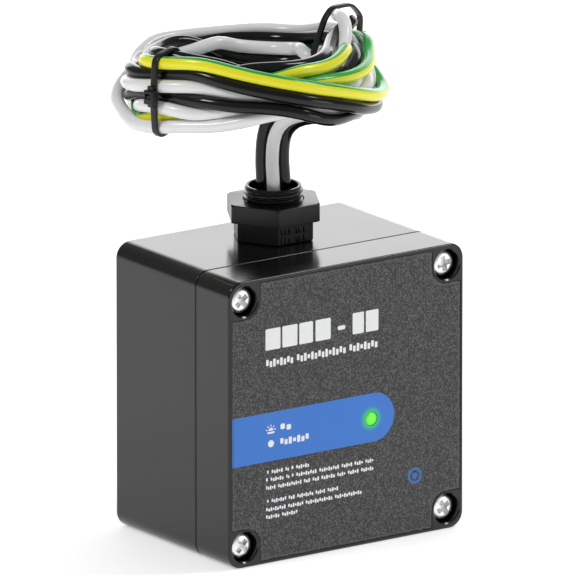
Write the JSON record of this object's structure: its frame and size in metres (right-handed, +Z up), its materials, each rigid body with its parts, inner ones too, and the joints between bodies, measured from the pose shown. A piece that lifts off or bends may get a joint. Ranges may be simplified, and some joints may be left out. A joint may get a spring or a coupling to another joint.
{
  "type": "hard-wired surge protective device",
  "caption": "Black boxed surge protective device with a threaded conduit nipple on top, a lit status window and a tied coil of wire leads.",
  "frame": {"origin": "middle of the enclosure's base, under the enclosure's centre", "axes": "+Z up along the conduit nipple, -Y out of the front face with the status window, +X to the right seen from the front"},
  "size_m": [0.1109, 0.0986, 0.1822],
  "materials": {
    "enclosure": "moulded black plastic, satin with fine texture",
    "face_label": "dark grey textured overlay with a blue band",
    "light_pipe": "clear acrylic, lit green",
    "seal_rubber": "black silicone rubber",
    "screw_steel": "bright nickel-plated steel",
    "insert_brass": "turned brass",
    "fitting_nylon": "black moulded nylon",
    "tie_nylon": "black nylon strap",
    "wire_black": "glossy black wire insulation",
    "wire_white": "glossy white wire insulation",
    "wire_green_yellow": "glossy green wire insulation with a yellow stripe",
    "board_laminate": "green circuit board",
    "varistor_epoxy": "blue dipped epoxy",
    "fuse_epoxy": "cream epoxy",
    "lamp_epoxy": "green lamp epoxy",
    "resistor_body": "pale blue lacquer",
    "diode_body": "black moulded body",
    "capacitor_case": "yellow plastic case",
    "terminal_tin": "tinned brass"
  },
  "bodies": {
    "enclosure": {"rear_case": "enclosure", "cover_gasket": "seal_rubber", "nipple_o_ring": "seal_rubber", "lead_seal": "seal_rubber", "board_screw_1": "screw_steel", "board_screw_2": "screw_steel", "board_screw_3": "screw_steel", "board_screw_4": "screw_steel", "case_insert_upper_left": "insert_brass", "case_insert_upper_right": "insert_brass", "case_insert_lower_left": "insert_brass", "case_insert_lower_right": "insert_brass", "conduit_nipple": "fitting_nylon", "inner_locknut": "fitting_nylon", "cable_tie_left": "tie_nylon", "cable_tie_right": "tie_nylon", "lead_black_1": "wire_black", "lead_black_2": "wire_black", "inner_lead_black_1": "wire_black", "inner_lead_black_2": "wire_black", "lead_coil": "wire_black", "lead_white": "wire_white", "inner_lead_white": "wire_white", "lead_green_yellow": "wire_green_yellow", "inner_lead_green_yellow": "wire_green_yellow", "circuit_board": "board_laminate", "varistor_line_1": "varistor_epoxy", "varistor_line_2": "varistor_epoxy", "varistor_ground": "varistor_epoxy", "thermal_fuse_line_1": "fuse_epoxy", "thermal_fuse_line_2": "fuse_epoxy", "status_lamp": "lamp_epoxy", "lamp_resistor": "resistor_body", "lamp_diode": "diode_body", "film_capacitor": "capacitor_case", "terminal_black_1": "terminal_tin", "terminal_white": "terminal_tin", "terminal_black_2": "terminal_tin", "terminal_green_yellow": "terminal_tin"},
    "cover": {"front_cover": "enclosure", "face_label": "face_label", "status_light_pipe": "light_pipe"},
    "seal_upper_left": {"screw_seal_upper_left": "seal_rubber"},
    "screw_upper_left": {"cover_screw_upper_left": "screw_steel"},
    "seal_upper_right": {"screw_seal_upper_right": "seal_rubber"},
    "screw_upper_right": {"cover_screw_upper_right": "screw_steel"},
    "seal_lower_left": {"screw_seal_lower_left": "seal_rubber"},
    "screw_lower_left": {"cover_screw_lower_left": "screw_steel"},
    "seal_lower_right": {"screw_seal_lower_right": "seal_rubber"},
    "screw_lower_right": {"cover_screw_lower_right": "screw_steel"},
    "locknut_ring": {"locknut_seal": "seal_rubber"},
    "locknut": {"locknut": "fitting_nylon"}
  },
  "joints": [
    {"name": "cover_slide", "type": "slide", "parent": "enclosure", "child": "cover", "axis": [0, -1, 0], "range_m": [0, 0.04]},
    {"name": "screw_turn_upper_left", "type": "hinge", "parent": "cover", "child": "seal_upper_left", "pos_m": [-0.0439, -0.0297, 0.0975], "axis": [0, -1, 0], "range_deg": [0, 5143]},
    {"name": "screw_travel_upper_left", "type": "slide", "parent": "seal_upper_left", "child": "screw_upper_left", "axis": [0, -1, 0], "range_m": [0, 0.01]},
    {"name": "screw_turn_upper_right", "type": "hinge", "parent": "cover", "child": "seal_upper_right", "pos_m": [0.0439, -0.0297, 0.0975], "axis": [0, -1, 0], "range_deg": [0, 5143]},
    {"name": "screw_travel_upper_right", "type": "slide", "parent": "seal_upper_right", "child": "screw_upper_right", "axis": [0, -1, 0], "range_m": [0, 0.01]},
    {"name": "screw_turn_lower_left", "type": "hinge", "parent": "cover", "child": "seal_lower_left", "pos_m": [-0.0439, -0.0297, 0.0075], "axis": [0, -1, 0], "range_deg": [0, 5143]},
    {"name": "screw_travel_lower_left", "type": "slide", "parent": "seal_lower_left", "child": "screw_lower_left", "axis": [0, -1, 0], "range_m": [0, 0.01]},
    {"name": "screw_turn_lower_right", "type": "hinge", "parent": "cover", "child": "seal_lower_right", "pos_m": [0.0439, -0.0297, 0.0075], "axis": [0, -1, 0], "range_deg": [0, 5143]},
    {"name": "screw_travel_lower_right", "type": "slide", "parent": "seal_lower_right", "child": "screw_lower_right", "axis": [0, -1, 0], "range_m": [0, 0.01]},
    {"name": "locknut_turn", "type": "hinge", "parent": "enclosure", "child": "locknut_ring", "pos_m": [0, 0.0098, 0.113], "axis": [0, 0, 1], "range_deg": [0, 2382]},
    {"name": "locknut_travel", "type": "slide", "parent": "locknut_ring", "child": "locknut", "axis": [0, 0, 1], "range_m": [0, 0.012]}
  ],
  "couplings": [
    {"joint": "screw_turn_upper_left", "follows": "screw_travel_upper_left", "rad_per_m": 8976},
    {"joint": "screw_turn_upper_right", "follows": "screw_travel_upper_right", "rad_per_m": 8976},
    {"joint": "screw_turn_lower_left", "follows": "screw_travel_lower_left", "rad_per_m": 8976},
    {"joint": "screw_turn_lower_right", "follows": "screw_travel_lower_right", "rad_per_m": 8976},
    {"joint": "locknut_travel", "follows": "locknut_turn", "m_per_rad": 0.00028871}
  ]
}
